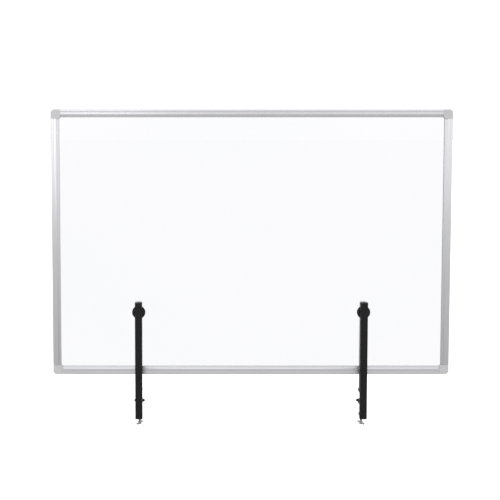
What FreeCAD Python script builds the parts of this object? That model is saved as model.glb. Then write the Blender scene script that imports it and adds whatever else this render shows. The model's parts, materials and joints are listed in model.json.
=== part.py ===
import FreeCAD, Part
import os
import re

import Sketcher

# A framed clear glass privacy panel that two clamp legs hold over the rear edge of a desk.
# Millimetres, +Z up. The desk's top surface is z = 0 and its edge face is y = 0, where it meets the
# front uprights. The desk lies on the +Y side and the panel's middle is x = 0.
# A leg is a square front upright, a jaw above and a jaw below the desk top, and a flat strip behind
# the glass. A screw below lifts a swivel pad to grip the desk; a knob behind grips the glass.

# name, size, what it is
DIMENSIONS = [
    ("panel_width", 900, "framed panel, overall"),
    ("panel_height", 600, "framed panel, overall"),
    ("panel_base", 46, "panel's lower edge above the desk"),
    ("rail_gap", 0.3, "front upright to frame"),
    ("rail_depth", 14, "frame section, front to back"),
    ("rail_face", 18, "frame section, outer edge to inner lip"),
    ("rail_flat", 12.4, "flat part of the face, before the step down to the lip"),
    ("step_run", 1.2, "step between the face and the lip, seen from the front"),
    ("step_depth", 1.3, "how far the step falls back"),
    ("rail_wall", 1.3, "frame section's wall"),
    ("chamber_edge", 8.7, "inner wall of the hollow chamber, from the outer edge"),
    ("slot_floor", 10, "floor of the glazing slot, from the outer edge"),
    ("slot_width", 6.4, "glazing slot"),
    ("lip_depth", 1.55, "how far the lip's inner edge lies behind the face"),
    ("rail_round", 2.5, "frame section's outer edges, radius"),
    ("line_place", 7, "fine groove along each face, from the outer edge"),
    ("line_width", 1.4, "fine groove's width"),
    ("line_depth", 0.15, "fine groove's depth"),
    ("edge_break", 0.8, "small bevel on moulded and turned edges"),
    ("glass_thick", 4, "tempered glass"),
    ("glass_edge", 11, "glass edge, from the frame's outer edge"),
    ("gasket_wall", 1.2, "glazing gasket's sides"),
    ("gasket_lip", 17.6, "gasket's open edge, from the frame's outer edge"),
    ("cap_size", 21, "corner cap along each rail"),
    ("cap_proud", 0.2, "corner cap beyond the rail's faces"),
    ("cap_corner", 8, "corner cap's outer radius"),
    ("cap_round", 2, "corner cap's edge rounding"),
    ("cap_play", 0.1, "corner cap's fit around the glass and in the chamber"),
    ("tongue_length", 20, "corner cap's tongue inside a rail"),
    ("fixing_inset", 9, "corner screw, from the rail's end"),
    ("fixing_depth", 5, "corner screw, from the rail's outer edge"),
    ("fixing_hole", 3, "corner screw's hole, across"),
    ("fixing_length", 8, "corner screw under its head"),
    ("fixing_head", 2.8, "corner screw's head, radius"),
    ("fixing_head_rise", 1.6, "corner screw's head, height"),
    ("crown_share", 0.7, "rounded share of a screw head's height"),
    ("leg_place", 255, "leg's middle from the panel's middle"),
    ("tube_side", 16, "front upright, square tube"),
    ("tube_wall", 1.5, "tube wall"),
    ("tube_round", 1.5, "tube's outer corner radius"),
    ("leg_foot", -53.8, "lower end of the tube"),
    ("leg_top", 210.6, "upper end of the tube and of the rear strip"),
    ("plug_flange", 1.2, "end plug's visible cap"),
    ("plug_depth", 10, "end plug inside the tube"),
    ("jaw_width", 12, "jaw bars"),
    ("jaw_pad_thick", 1.2, "rubber strip under the upper jaw"),
    ("jaw_pad_start", 5, "rubber strip, from the desk edge"),
    ("jaw_thick", 3.2, "upper jaw bar"),
    ("jaw_reach", 45, "upper jaw over the desk"),
    ("jaw_corner", 2.5, "cut corners of the jaw and the strip"),
    ("strip_width", 14, "rear strip"),
    ("strip_thick", 2.8, "rear strip and its foot"),
    ("strip_face", 14.6, "rear strip's front face"),
    ("strip_foot_end", 38, "end of the rear strip's foot"),
    ("bend_inner", 1.2, "rear strip's bend, inside radius"),
    ("foot_screw_first", 22.6, "foot screw nearer the panel"),
    ("foot_screw_second", 32, "foot screw nearer the jaw's end"),
    ("foot_hole", 4.2, "foot screw's clearance hole"),
    ("foot_head", 3.8, "foot screw's head, radius"),
    ("foot_head_rise", 2.2, "foot screw's head, height"),
    ("jaw_hole", 4, "foot screw's tapped hole"),
    ("lower_jaw_thick", 6, "lower jaw bar"),
    ("clamp_axis", 28, "clamp screw from the desk edge"),
    ("clamp_hole", 6, "clamp screw's tapped hole"),
    ("pad_height", 188, "glass pads above the desk"),
    ("glass_pad_radius", 15, "front glass pad"),
    ("glass_pad_face", 5, "front glass pad's rubber face"),
    ("glass_pad_rim", 3.8, "front glass pad cup's rim"),
    ("cup_floor", 1.8, "floor of the front cup"),
    ("cup_rim", 1.8, "wall of the front cup"),
    ("pad_hole", 4, "front pad screw's hole"),
    ("pad_screw_length", 5, "front pad screw inside the tube"),
    ("press_face", 9.6, "rear glass pad's rubber face, clear of the glass"),
    ("press_radius", 8, "rear glass pad"),
    ("press_back", 12.4, "rear glass pad's back"),
    ("press_floor", 11, "front of the rear cup's floor"),
    ("press_bore", 4, "rear cup's bore for the screw tip"),
    ("knob_hole", 5.2, "knob screw's clearance hole in the strip"),
    ("knob_nut_hole", 5, "knob nut's thread"),
    ("knob_nut_flats", 8, "knob nut across its flats"),
    ("knob_nut_thick", 4, "knob nut"),
    ("knob_front", 24, "knob's front face"),
    ("knob_length", 10, "knob"),
    ("knob_radius", 10, "knob"),
    ("knob_hub", 6.5, "knob's plain hub radius"),
    ("knob_step", 1.5, "knob's hub length, and the bevel around its top"),
    ("knob_cover", 3, "knob's solid top, past the screw's end"),
    ("knob_lobes", 12, "finger grooves around the knob"),
    ("groove_radius", 1.75, "finger groove, radius"),
    ("groove_offset", 0.75, "finger groove's centre outside the knob"),
    ("grip_top", -17.5, "swivel pad's rubber face, at rest"),
    ("grip_rubber", 1.5, "swivel pad's rubber"),
    ("grip_radius", 12.2, "swivel pad"),
    ("grip_rim", 0.6, "swivel pad's rim above its floor"),
    ("grip_plate", 2.6, "swivel pad's plate"),
    ("hub_top", 8, "swivel pad's hub under the plate, radius"),
    ("hub_foot", 6.2, "swivel pad's hub at its mouth, radius"),
    ("hub_height", 6.2, "swivel pad's hub"),
    ("ball_below_plate", 5.3, "ball centre under the swivel pad's floor"),
    ("ball_radius", 4.5, "nylon ball"),
    ("ball_play", 0.05, "ball in its socket"),
    ("ball_flat", 3.1, "ball centre to its flat underside"),
    ("ball_bore", 4, "ball's bore for the screw tip"),
    ("ball_bore_top", 3, "bore's end above the ball centre"),
    ("shaft_play", 0.05, "radial clearance of each turning shaft"),
    ("neck_gap", 4.7, "ball centre to the clamp screw's shoulder"),
    ("neck_radius", 1.95, "clamp screw's neck"),
    ("head_top", -68.1, "clamp screw's head, upper face"),
    ("head_foot", -75.1, "clamp screw's head, lower face"),
    ("head_radius", 4, "clamp screw's head"),
    ("bar_height", -71.6, "tommy bar"),
    ("bar_radius", 2, "tommy bar"),
    ("bar_half", 15, "half the tommy bar's length"),
    ("bar_end", 1.5, "tommy bar's upset end, length"),
    ("bar_end_radius", 2.6, "tommy bar's upset end"),
    ("bar_turn", 18, "tommy bar's rest angle, degrees"),
]

doc = FreeCAD.newDocument("PrivacyPanel")
sheet = doc.addObject("Spreadsheet::Sheet", "Dims")
for row, (alias, size, note) in enumerate(DIMENSIONS, start=1):
    sheet.set("A%d" % row, note)
    sheet.set("B%d" % row, str(size))
    sheet.setAlias("B%d" % row, alias)
doc.recompute()

UP = FreeCAD.Vector(0, 0, 1)
DEPTH = FreeCAD.Vector(0, 1, 0)
ALONG = FreeCAD.Vector(1, 0, 0)
SIDES = (("left", -1), ("right", 1))
nodes = []


def read(expression):
    """The value of an expression over the sheet's names."""
    return float(sheet.evalExpression(expression))


def bound(expression):
    """The same expression as an object outside the sheet writes it: each alias with the sheet's name."""
    aliases = "|".join(alias for alias, size, note in DIMENSIONS)
    return re.sub(r"\b(%s)\b" % aliases, r"Dims.\1", expression)


def place(item, x="0", y="0", z="0", turn=0, about=DEPTH):
    """Bind an object's place to the sheet, turned by whole degrees about one axis."""
    item.Placement = FreeCAD.Placement(FreeCAD.Vector(), FreeCAD.Rotation(about, turn))
    for axis, expression in (("x", x), ("y", y), ("z", z)):
        item.setExpression("Placement.Base." + axis, bound(expression))


def new_body(label, **where):
    body = doc.addObject("PartDesign::Body", label)
    body.Label = label
    place(body, **where)
    nodes.append(body)
    return body


def sketch_on(body, plane, lift="0"):
    """A sketch on one of the body's own origin planes, lifted along the plane's normal."""
    sketch = body.newObject("Sketcher::SketchObject", body.Label + "_sketch")
    support = [f for f in body.Origin.OriginFeatures if f.Role == plane][0]
    sketch.AttachmentSupport = [(support, "")]
    sketch.MapMode = "FlatFace"
    sketch.setExpression("AttachmentOffset.Base.z", bound(lift))
    return sketch


def pin(sketch, geometry, point, u, v):
    """Tie one point of the sketch to two expressions."""
    for kind, expression in (("DistanceX", u), ("DistanceY", v)):
        tie = Sketcher.Constraint(kind, -1, 1, geometry, point, read(expression))
        sketch.setExpression("Constraints[%d]" % sketch.addConstraint(tie), bound(expression))


def outline(sketch, corners):
    """A closed outline of straight edges through the corners, each a pair of expressions."""
    first = sketch.GeometryCount
    points = [FreeCAD.Vector(read(u), read(v), 0) for u, v in corners]
    for start, end in zip(points, points[1:] + points[:1]):
        sketch.addGeometry(Part.LineSegment(start, end))
    for k, (u, v) in enumerate(corners):
        following = first + (k + 1) % len(corners)
        sketch.addConstraint(Sketcher.Constraint("Coincident", first + k, 2, following, 1))
        pin(sketch, first + k, 1, u, v)


def rectangle(sketch, left, right, low, high):
    outline(sketch, [(left, low), (right, low), (right, high), (left, high)])


def circle(sketch, u, v, across):
    """A circle of the diameter that the sheet gives."""
    centre = FreeCAD.Vector(read(u), read(v), 0)
    ring = sketch.addGeometry(Part.Circle(centre, UP, read(across) / 2))
    size = Sketcher.Constraint("Radius", ring, read(across) / 2)
    sketch.setExpression("Constraints[%d]" % sketch.addConstraint(size), bound("( %s ) / 2" % across))
    pin(sketch, ring, 3, u, v)


def feature(body, kind, sketch, length, symmetric=False, reverse=False):
    """A pad or pocket of the sketch; a pocket that removes nothing is an error."""
    doc.recompute()
    before = body.Shape.Volume if body.Tip else 0
    made = body.newObject("PartDesign::" + kind, kind + "_" + body.Label)
    made.Profile = sketch
    made.setExpression("Length", bound(length))
    made.SideType = "Symmetric" if symmetric else "One side"
    made.Reversed = reverse
    doc.recompute()
    if kind == "Pocket" and body.Shape.Volume >= before:
        raise RuntimeError("%s: the pocket cuts nothing" % body.Label)
    return made


def turned(body, plane, corners):
    """A solid of revolution about the plane's vertical axis: corners are (radius, place along it)."""
    sketch = sketch_on(body, plane)
    outline(sketch, corners)
    made = body.newObject("PartDesign::Revolution", body.Label + "_turned")
    made.Profile = sketch
    made.ReferenceAxis = (sketch, ["V_Axis"])
    made.Angle = 360
    doc.recompute()


def dress(body, kind, size, keep):
    """Fillet or Chamfer the edges whose middle point and direction pass the test."""
    doc.recompute()
    base = body.Tip
    names = []
    for number, edge in enumerate(base.Shape.Edges, start=1):
        middle = edge.valueAt((edge.FirstParameter + edge.LastParameter) / 2)
        ends = edge.lastVertex().Point - edge.firstVertex().Point
        if keep(middle, ends):
            names.append("Edge%d" % number)
    made = body.newObject("PartDesign::" + kind, kind + "_" + body.Label)
    made.Base = (base, names)
    made.setExpression("Radius" if kind == "Fillet" else "Size", bound(size))
    doc.recompute()


def runs_along(ends, direction):
    return ends.Length > 0 and abs(ends.dot(direction)) > 0.99 * ends.Length


# ---- framed panel ----

def frame_side(name, shape, length, turn, x, z):
    """One of four like pieces, with its outer edge at local z = 0 and its length along local X."""
    body = new_body(name, x=x, y="rail_gap", z=z, turn=turn)
    section = sketch_on(body, "YZ_Plane")
    for loop in shape:
        outline(section, loop)
    feature(body, "Pad", section, length, symmetric=True)
    return body


def rail_loops():
    """The extrusion's section: (depth, height from the outer edge). A chamber and a glazing slot."""
    slot_front = "rail_depth / 2 - slot_width / 2"
    slot_back = "rail_depth / 2 + slot_width / 2"
    outer = [
        ("0", "0"),
        ("rail_depth", "0"),
        ("rail_depth", "line_place - line_width / 2"),
        ("rail_depth - line_depth", "line_place"),
        ("rail_depth", "line_place + line_width / 2"),
        ("rail_depth", "rail_flat"),
        ("rail_depth - step_depth", "rail_flat + step_run"),
        ("rail_depth - lip_depth", "rail_face"),
        (slot_back, "rail_face"),
        (slot_back, "slot_floor"),
        (slot_front, "slot_floor"),
        (slot_front, "rail_face"),
        ("lip_depth", "rail_face"),
        ("step_depth", "rail_flat + step_run"),
        ("0", "rail_flat"),
        ("0", "line_place + line_width / 2"),
        ("line_depth", "line_place"),
        ("0", "line_place - line_width / 2"),
    ]
    chamber = [
        ("rail_wall", "rail_wall"),
        ("rail_depth - rail_wall", "rail_wall"),
        ("rail_depth - rail_wall", "chamber_edge"),
        ("rail_wall", "chamber_edge"),
    ]
    return [outer, chamber]


def gasket_loop():
    """The U-shaped gasket's section around the glass edge."""
    front = "rail_depth / 2 - slot_width / 2"
    back = "rail_depth / 2 + slot_width / 2"
    return [
        (front, "slot_floor"),
        (back, "slot_floor"),
        (back, "gasket_lip"),
        (back + " - gasket_wall", "gasket_lip"),
        (back + " - gasket_wall", "glass_edge"),
        (front + " + gasket_wall", "glass_edge"),
        (front + " + gasket_wall", "gasket_lip"),
        (front, "gasket_lip"),
    ]


FRAME_SIDES = (
    ("bottom", "panel_width", 0, "0", "panel_base"),
    ("top", "panel_width", 180, "0", "panel_base + panel_height"),
    ("left", "panel_height", 90, "0 - panel_width / 2", "panel_base + panel_height / 2"),
    ("right", "panel_height", 270, "panel_width / 2", "panel_base + panel_height / 2"),
)


def rails_and_gaskets():
    for name, span, turn, x, z in FRAME_SIDES:
        length = span + " - 2 * cap_size"
        rail = frame_side(name + "_rail", rail_loops(), length, turn, x, z)
        dress(rail, "Fillet", "rail_round",
              lambda middle, ends: runs_along(ends, ALONG) and middle.z < 0.01)
        holes = sketch_on(rail, "XZ_Plane", "0 - rail_depth")
        from_middle = span + " / 2 - cap_size - fixing_inset"
        circle(holes, "0 - ( " + from_middle + " )", "fixing_depth", "fixing_hole")
        circle(holes, from_middle, "fixing_depth", "fixing_hole")
        feature(rail, "Pocket", holes, "rail_wall + cap_play", reverse=True)
        frame_side(name + "_gasket", [gasket_loop()], length, turn, x, z)


def glass_pane():
    body = new_body("glass_pane", y="rail_gap + rail_depth / 2 + glass_thick / 2",
                    z="panel_base + panel_height / 2")
    sheet_face = sketch_on(body, "XZ_Plane")
    half_width = "panel_width / 2 - glass_edge"
    half_height = "panel_height / 2 - glass_edge"
    rectangle(sheet_face, "0 - ( " + half_width + " )", half_width,
              "0 - ( " + half_height + " )", half_height)
    feature(body, "Pad", sheet_face, "glass_thick")


CORNERS = (
    ("bottom_left", 0, "0 - panel_width / 2", "panel_base"),
    ("bottom_right", 270, "panel_width / 2", "panel_base"),
    ("top_left", 90, "0 - panel_width / 2", "panel_base + panel_height"),
    ("top_right", 180, "panel_width / 2", "panel_base + panel_height"),
)


def corner_cap(name, turn, x, z):
    """A moulded corner: a block with two tongues, in local +X and +Z from the frame's corner."""
    body = new_body("corner_cap_" + name, x=x, y="rail_gap", z=z, turn=turn)
    face = sketch_on(body, "XZ_Plane", "cap_proud")
    outline(face, [("0", "0"), ("cap_size", "0"), ("cap_size", "rail_face"),
                   ("rail_face", "cap_size"), ("0", "cap_size")])
    feature(body, "Pad", face, "rail_depth + 2 * cap_proud", reverse=True)
    dress(body, "Fillet", "cap_corner",
          lambda middle, ends: runs_along(ends, DEPTH) and middle.x + middle.z < 1)
    faces = (-read("cap_proud"), read("rail_depth + cap_proud"))
    reach = read("cap_size") - 0.01
    dress(body, "Fillet", "cap_round",
          lambda middle, ends: min(abs(middle.y - at) for at in faces) < 0.01
          and middle.x < reach and middle.z < reach)
    slot = sketch_on(body, "XZ_Plane", "0 - ( rail_depth / 2 - glass_thick / 2 - cap_play )")
    rectangle(slot, "glass_edge - 2 * cap_play", "cap_size + cap_proud",
              "glass_edge - 2 * cap_play", "cap_size + cap_proud")
    feature(body, "Pocket", slot, "glass_thick + 2 * cap_play", reverse=False)
    low = "rail_wall + cap_play"
    deep = "rail_depth - rail_wall - cap_play"
    inner = "chamber_edge - cap_play"
    across = sketch_on(body, "YZ_Plane", "cap_size")
    rectangle(across, low, deep, low, inner)
    feature(body, "Pad", across, "tongue_length")
    upward = sketch_on(body, "XY_Plane", "cap_size")
    rectangle(upward, low, inner, low, deep)
    feature(body, "Pad", upward, "tongue_length")
    holes = sketch_on(body, "XZ_Plane", "0 - ( " + deep + " )")
    circle(holes, "cap_size + fixing_inset", "fixing_depth", "fixing_hole")
    circle(holes, "fixing_depth", "cap_size + fixing_inset", "fixing_hole")
    feature(body, "Pocket", holes, "fixing_length", reverse=True)


def headed_screw(shank, length, head, height):
    """A round-headed screw along -Y, with its head's seat at the origin."""
    crown = Part.makeCylinder(head, height, FreeCAD.Vector(), DEPTH)
    rim = [edge for edge in crown.Edges if edge.CenterOfMass.y > height - 0.01]
    crown = crown.makeFillet(read("crown_share") * height, rim)
    return crown.fuse(Part.makeCylinder(shank, length, FreeCAD.Vector(), -DEPTH)).removeSplitter()


def screw_group(label, screws):
    group = doc.addObject("Part::Feature", label)
    group.Label = label
    group.Shape = Part.makeCompound(screws)
    group.Placement = FreeCAD.Placement()
    nodes.append(group)


def corner_screws():
    """Two screws a corner, driven from behind through the rails into the caps' tongues."""
    shank = read("fixing_hole / 2 - shaft_play")
    screws = []
    back = read("rail_gap + rail_depth")
    for side in (-1, 1):
        for height, upward in (("panel_base", 1), ("panel_base + panel_height", -1)):
            corner = FreeCAD.Vector(side * read("panel_width / 2"), back, read(height))
            for u, v in (("cap_size + fixing_inset", "fixing_depth"),
                         ("fixing_depth", "cap_size + fixing_inset")):
                screw = headed_screw(shank, read("fixing_length"), read("fixing_head"),
                                     read("fixing_head_rise"))
                screw.translate(corner + FreeCAD.Vector(-side * read(u), 0, upward * read(v)))
                screws.append(screw)
    screw_group("corner_screws", screws)


# ---- clamp legs ----

def leg_x(sign):
    return "leg_place" if sign > 0 else "0 - leg_place"


def front_upright(side, sign):
    body = new_body(side + "_front_upright", x=leg_x(sign), y="0 - tube_side / 2", z="leg_foot")
    section = sketch_on(body, "XY_Plane")
    half = "tube_side / 2"
    rectangle(section, "0 - " + half, half, "0 - " + half, half)
    clear = "( tube_side / 2 - tube_wall )"
    rectangle(section, "0 - " + clear, clear, "0 - " + clear, clear)
    feature(body, "Pad", section, "leg_top - leg_foot")
    outer = read("tube_side / 2") - 0.01
    dress(body, "Fillet", "tube_round",
          lambda middle, ends: runs_along(ends, UP) and abs(middle.x) > outer)
    hole = sketch_on(body, "XZ_Plane", "0 - tube_side / 2")
    circle(hole, "0", "pad_height - leg_foot", "pad_hole")
    feature(body, "Pocket", hole, "tube_wall + shaft_play", reverse=True)


def end_plug(label, sign, z, turn):
    """A push-in plug: a thin cap with a bevelled edge and a square stem inside the tube."""
    body = new_body(label, x=leg_x(sign), y="0 - tube_side / 2", z=z, turn=turn)
    cap = sketch_on(body, "XY_Plane")
    half = "tube_side / 2"
    rectangle(cap, "0 - " + half, half, "0 - " + half, half)
    feature(body, "Pad", cap, "plug_flange")
    outer = read("tube_side / 2") - 0.01
    dress(body, "Fillet", "tube_round",
          lambda middle, ends: runs_along(ends, UP) and abs(middle.x) > outer)
    top = read("plug_flange") - 0.01
    dress(body, "Fillet", "plug_flange / 2", lambda middle, ends: middle.z > top)
    stem = sketch_on(body, "XY_Plane")
    clear = "( tube_side / 2 - tube_wall )"
    rectangle(stem, "0 - " + clear, clear, "0 - " + clear, clear)
    feature(body, "Pad", stem, "plug_depth", reverse=True)


def upper_jaw(side, sign):
    body = new_body(side + "_upper_jaw", x=leg_x(sign), z="jaw_pad_thick")
    plan = sketch_on(body, "XY_Plane")
    rectangle(plan, "0 - jaw_width / 2", "jaw_width / 2", "0", "jaw_reach")
    for at in ("foot_screw_first", "foot_screw_second"):
        circle(plan, "0", at, "jaw_hole")
    feature(body, "Pad", plan, "jaw_thick")
    end = read("jaw_reach") - 0.01
    dress(body, "Fillet", "jaw_corner",
          lambda middle, ends: runs_along(ends, UP) and middle.y > end)


def jaw_pad(side, sign):
    body = new_body(side + "_upper_jaw_pad", x=leg_x(sign))
    plan = sketch_on(body, "XY_Plane")
    rectangle(plan, "0 - jaw_width / 2", "jaw_width / 2", "jaw_pad_start", "jaw_reach - jaw_corner")
    feature(body, "Pad", plan, "jaw_pad_thick")


def rear_upright(side, sign):
    """A strip bent to an L: it stands behind the panel and its foot is screwed to the jaw."""
    body = new_body(side + "_rear_upright", x=leg_x(sign), z="jaw_pad_thick + jaw_thick")
    section = sketch_on(body, "YZ_Plane")
    top = "leg_top - jaw_pad_thick - jaw_thick"
    outline(section, [
        ("strip_face", "0"),
        ("strip_foot_end", "0"),
        ("strip_foot_end", "strip_thick"),
        ("strip_face + strip_thick", "strip_thick"),
        ("strip_face + strip_thick", top),
        ("strip_face", top),
    ])
    feature(body, "Pad", section, "strip_width", symmetric=True)
    corner = FreeCAD.Vector(0, read("strip_face"), 0)
    dress(body, "Fillet", "bend_inner + strip_thick",
          lambda middle, ends: runs_along(ends, ALONG) and (middle - corner).Length < 0.01)
    crook = FreeCAD.Vector(0, read("strip_face + strip_thick"), read("strip_thick"))
    dress(body, "Fillet", "bend_inner",
          lambda middle, ends: runs_along(ends, ALONG) and (middle - crook).Length < 0.01)
    height = read(top) - 0.01
    foot_end = read("strip_foot_end") - 0.01
    dress(body, "Fillet", "jaw_corner",
          lambda middle, ends: (runs_along(ends, DEPTH) and middle.z > height)
          or (runs_along(ends, UP) and middle.y > foot_end))
    foot_holes = sketch_on(body, "XY_Plane", "strip_thick")
    for at in ("foot_screw_first", "foot_screw_second"):
        circle(foot_holes, "0", at, "foot_hole")
    feature(body, "Pocket", foot_holes, "strip_thick")
    knob_hole = sketch_on(body, "XZ_Plane", "0 - strip_face")
    circle(knob_hole, "0", "pad_height - jaw_pad_thick - jaw_thick", "knob_hole")
    feature(body, "Pocket", knob_hole, "strip_thick")


def foot_screws(side, sign):
    screws = []
    for at in ("foot_screw_first", "foot_screw_second"):
        screw = headed_screw(read("jaw_hole / 2 - shaft_play"), read("strip_thick + jaw_thick"),
                             read("foot_head"), read("foot_head_rise"))
        screw.rotate(FreeCAD.Vector(), ALONG, 90)
        seat = read("jaw_pad_thick + jaw_thick + strip_thick")
        screw.translate(FreeCAD.Vector(sign * read("leg_place"), read(at), seat))
        screws.append(screw)
    screw_group(side + "_foot_screws", screws)


def lower_jaw(side, sign):
    """A flat bar welded behind the tube's lower end, round at its free end, tapped for the screw."""
    body = new_body(side + "_lower_jaw", x=leg_x(sign), z="leg_foot")
    plan = sketch_on(body, "XY_Plane")
    half = "jaw_width / 2"
    rectangle(plan, "0 - " + half, half, "0", "clamp_axis + " + half)
    circle(plan, "0", "clamp_axis", "clamp_hole")
    feature(body, "Pad", plan, "lower_jaw_thick")
    end = read("clamp_axis + " + half) - 0.01
    dress(body, "Fillet", half + " - edge_break",
          lambda middle, ends: runs_along(ends, UP) and middle.y > end)


def front_glass_pad(side, sign):
    """A cup screwed to the tube's rear wall, with a rubber disc that the glass leans on."""
    cup = new_body(side + "_glass_pad_cup", x=leg_x(sign), z="pad_height")
    turned(cup, "XY_Plane", [
        ("pad_hole / 2 + shaft_play", "0"),
        ("glass_pad_radius - edge_break", "0"),
        ("glass_pad_radius", "edge_break"),
        ("glass_pad_radius", "glass_pad_rim"),
        ("glass_pad_radius - cup_rim", "glass_pad_rim"),
        ("glass_pad_radius - cup_rim", "cup_floor"),
        ("pad_hole", "cup_floor"),
    ])
    disc = new_body(side + "_glass_pad_rubber", x=leg_x(sign), z="pad_height")
    turned(disc, "XY_Plane", [
        ("0", "cup_floor"),
        ("glass_pad_radius - cup_rim", "cup_floor"),
        ("glass_pad_radius - cup_rim", "glass_pad_face - edge_break"),
        ("glass_pad_radius - cup_rim - edge_break", "glass_pad_face"),
        ("0", "glass_pad_face"),
    ])
    screw = new_body(side + "_glass_pad_screw", x=leg_x(sign), z="pad_height")
    shank = "pad_hole / 2 - shaft_play"
    turned(screw, "XY_Plane", [
        ("0", "0 - pad_screw_length"),
        (shank, "0 - pad_screw_length"),
        (shank, "0"),
        ("pad_hole - 2 * shaft_play", "cup_floor"),
        ("0", "cup_floor"),
    ])


def knob_nut(side, sign):
    """A hexagon nut welded behind the strip, in line with the glass pads."""
    hexagon = doc.addObject("Part::Prism", side + "_nut_blank")
    hexagon.Polygon = 6
    hexagon.setExpression("Circumradius", bound("knob_nut_flats / sqrt(3)"))
    hexagon.setExpression("Height", bound("knob_nut_thick"))
    thread = doc.addObject("Part::Cylinder", side + "_nut_thread")
    thread.setExpression("Radius", bound("knob_nut_hole / 2"))
    thread.setExpression("Height", bound("knob_nut_thick"))
    nut = doc.addObject("Part::Cut", side + "_knob_nut")
    nut.Label = side + "_knob_nut"
    nut.Base = hexagon
    nut.Tool = thread
    place(nut, x=leg_x(sign), y="strip_face + strip_thick", z="pad_height", turn=-90, about=ALONG)
    nodes.append(nut)


def rear_glass_pad(side, sign):
    """The moving pad: a cup on the knob screw's tip and a thin rubber face against the glass."""
    cup = new_body(side + "_pressure_pad_cup", x=leg_x(sign), z="pad_height")
    turned(cup, "XY_Plane", [
        ("0", "press_floor"),
        ("press_bore / 2", "press_floor"),
        ("press_bore / 2", "press_back"),
        ("press_radius - edge_break", "press_back"),
        ("press_radius", "press_back - edge_break"),
        ("press_radius", "press_floor - edge_break"),
        ("0", "press_floor - edge_break"),
    ])
    rubber = new_body(side + "_pressure_pad_rubber", x=leg_x(sign), z="pad_height")
    turned(rubber, "XY_Plane", [
        ("0", "press_face"),
        ("press_radius - edge_break", "press_face"),
        ("press_radius - edge_break / 2", "press_floor - edge_break"),
        ("0", "press_floor - edge_break"),
    ])


def knob(side, sign):
    """A moulded knob with finger grooves, fixed on a screw whose plain tip turns in the cup."""
    screw = new_body(side + "_knob_screw", x=leg_x(sign), z="pad_height")
    tip = "press_bore / 2 - shaft_play"
    shank = "knob_nut_hole / 2 - shaft_play"
    shoulder = "press_back + rail_gap"
    turned(screw, "XY_Plane", [
        ("0", "press_floor + shaft_play"),
        (tip, "press_floor + shaft_play"),
        (tip, shoulder),
        (shank, shoulder),
        (shank, "knob_front + knob_length - knob_cover"),
        ("0", "knob_front + knob_length - knob_cover"),
    ])
    grip = new_body(side + "_knob", x=leg_x(sign), z="pad_height")
    turned(grip, "XY_Plane", [
        (shank, "knob_front"),
        ("knob_hub", "knob_front"),
        ("knob_hub", "knob_front + knob_step"),
        ("knob_radius - edge_break", "knob_front + knob_step"),
        ("knob_radius", "knob_front + knob_step + edge_break"),
        ("knob_radius", "knob_front + knob_length - knob_step"),
        ("knob_radius - knob_step", "knob_front + knob_length"),
        ("0", "knob_front + knob_length"),
        ("0", "knob_front + knob_length - knob_cover"),
        (shank, "knob_front + knob_length - knob_cover"),
    ])
    groove = sketch_on(grip, "XZ_Plane", "0 - knob_front - knob_length")
    circle(groove, "0", "knob_radius + groove_offset", "2 * groove_radius")
    feature(grip, "Pocket", groove, "knob_length", reverse=True)
    cut = grip.Tip
    ring = grip.newObject("PartDesign::PolarPattern", grip.Label + "_pattern")
    ring.Originals = [cut]
    ring.Axis = (groove, ["N_Axis"])
    ring.Angle = 360
    ring.Occurrences = int(read("knob_lobes"))
    grip.Tip = ring


def swivel_pad(side, sign):
    """The desk grip: a plate with a rubber face and a hub whose mouth keeps the nylon ball in."""
    ball_height = "grip_top - grip_rubber - ball_below_plate"
    pad = new_body(side + "_swivel_pad", x=leg_x(sign), y="clamp_axis", z=ball_height)
    floor = "ball_below_plate"
    plate_foot = "ball_below_plate - grip_plate"
    mouth = "ball_below_plate - grip_plate - hub_height"
    turned(pad, "XZ_Plane", [
        ("0", mouth),
        ("hub_foot", mouth),
        ("hub_top", plate_foot),
        ("grip_radius - edge_break", plate_foot),
        ("grip_radius", plate_foot + " + edge_break"),
        ("grip_radius", floor + " + grip_rim"),
        ("grip_radius - edge_break", floor + " + grip_rim"),
        ("grip_radius - edge_break", floor),
        ("0", floor),
    ])
    socket = pad.newObject("PartDesign::SubtractiveSphere", side + "_socket")
    socket.setExpression("Radius", bound("ball_radius + ball_play"))
    doc.recompute()
    rubber = new_body(side + "_swivel_pad_rubber", x=leg_x(sign), y="clamp_axis",
                      z="grip_top - grip_rubber")
    turned(rubber, "XZ_Plane", [
        ("0", "0"),
        ("grip_radius - edge_break", "0"),
        ("grip_radius - edge_break", "grip_rubber - edge_break / 2"),
        ("grip_radius - 1.5 * edge_break", "grip_rubber"),
        ("0", "grip_rubber"),
    ])


def socket_ball(side, sign):
    """The nylon ball: bored for the screw's tip and flat underneath."""
    ball = doc.addObject("Part::Sphere", side + "_ball_blank")
    ball.setExpression("Radius", bound("ball_radius"))
    ball.setExpression("Angle1", bound("-asin(ball_flat / ball_radius)"))
    bore = doc.addObject("Part::Cylinder", side + "_ball_bore")
    bore.setExpression("Radius", bound("ball_bore / 2"))
    bore.setExpression("Height", bound("ball_radius + ball_bore_top"))
    bore.setExpression("Placement.Base.z", bound("0 - ball_radius"))
    cut = doc.addObject("Part::Cut", side + "_socket_ball")
    cut.Label = side + "_socket_ball"
    cut.Base = ball
    cut.Tool = bore
    place(cut, x=leg_x(sign), y="clamp_axis", z="grip_top - grip_rubber - ball_below_plate")
    nodes.append(cut)


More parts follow.
